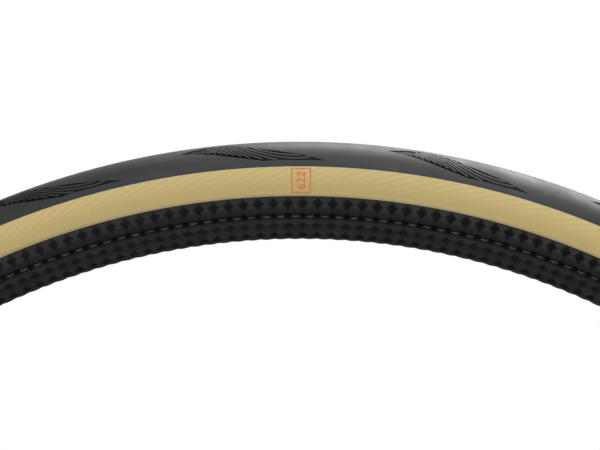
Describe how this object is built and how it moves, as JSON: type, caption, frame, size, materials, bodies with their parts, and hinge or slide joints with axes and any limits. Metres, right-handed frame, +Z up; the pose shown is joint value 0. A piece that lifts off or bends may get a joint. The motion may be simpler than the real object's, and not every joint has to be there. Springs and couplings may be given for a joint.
{
  "type": "bicycle tyre on rim hoop",
  "caption": "Narrow road bicycle tyre with tan sidewalls and hatched shoulder tread, seated on a V-section woven carbon rim hoop with its valve.",
  "frame": {"origin": "wheel centre, on the wheel axis and the mid-plane", "axes": "+Y along the wheel axis towards the left side, +Z up with the valve at the bottom, +X the direction of travel"},
  "size_m": [0.678, 0.028, 0.678],
  "materials": {
    "tread_rubber": "satin",
    "belt_fabric": "matt",
    "casing_fabric": "matt",
    "bead_cord": "matt",
    "chafer_fabric": "matt",
    "tan_rubber": "satin",
    "liner_rubber": "matt",
    "label_film": "satin",
    "rim_carbon": "satin",
    "rim_weave_carbon": "satin woven",
    "tape_film": "satin",
    "seal_rubber": "matt",
    "stem_aluminium": "satin",
    "nut_aluminium": "anodised black",
    "core_brass": "satin",
    "cap_plastic": "matt"
  },
  "bodies": {
    "wheel": {"tread": "tread_rubber", "puncture_belt": "belt_fabric", "casing_outer_ply": "casing_fabric", "casing_inner_ply": "casing_fabric", "bead_core_left": "bead_cord", "bead_core_right": "bead_cord", "chafer_left": "chafer_fabric", "chafer_right": "chafer_fabric", "sidewall_left": "tan_rubber", "sidewall_right": "tan_rubber", "inner_liner": "liner_rubber", "sidewall_label_left": "label_film", "sidewall_label_right": "label_film", "rim_hoop": "rim_carbon", "rim_weave": "rim_weave_carbon", "rim_tape": "tape_film", "valve_base_seal": "seal_rubber", "valve_stem": "stem_aluminium", "valve_core_body": "core_brass", "valve_core_pin": "core_brass"},
    "nut_washer": {"valve_o_ring": "seal_rubber"},
    "lock_nut": {"valve_lock_nut": "nut_aluminium"},
    "core_nut": {"valve_core_nut": "core_brass"},
    "cap": {"valve_cap": "cap_plastic"}
  },
  "joints": [
    {"name": "valve_nut_travel", "type": "slide", "parent": "wheel", "child": "nut_washer", "axis": [0, 0, 1], "range_m": [0, 0.008]},
    {"name": "valve_lock_nut_turn", "type": "hinge", "parent": "nut_washer", "child": "lock_nut", "pos_m": [0, 0, -0.2937], "axis": [0, 0, 1], "range_deg": [0, 3600]},
    {"name": "valve_core_nut_lift", "type": "slide", "parent": "wheel", "child": "core_nut", "axis": [0, 0, 1], "range_m": [0, 0.0025]},
    {"name": "valve_cap_lift", "type": "slide", "parent": "wheel", "child": "cap", "axis": [0, 0, 1], "range_m": [0, 0.02]}
  ],
  "couplings": [
    {"joint": "valve_lock_nut_turn", "follows": "valve_nut_travel", "rad_per_m": 7854}
  ]
}
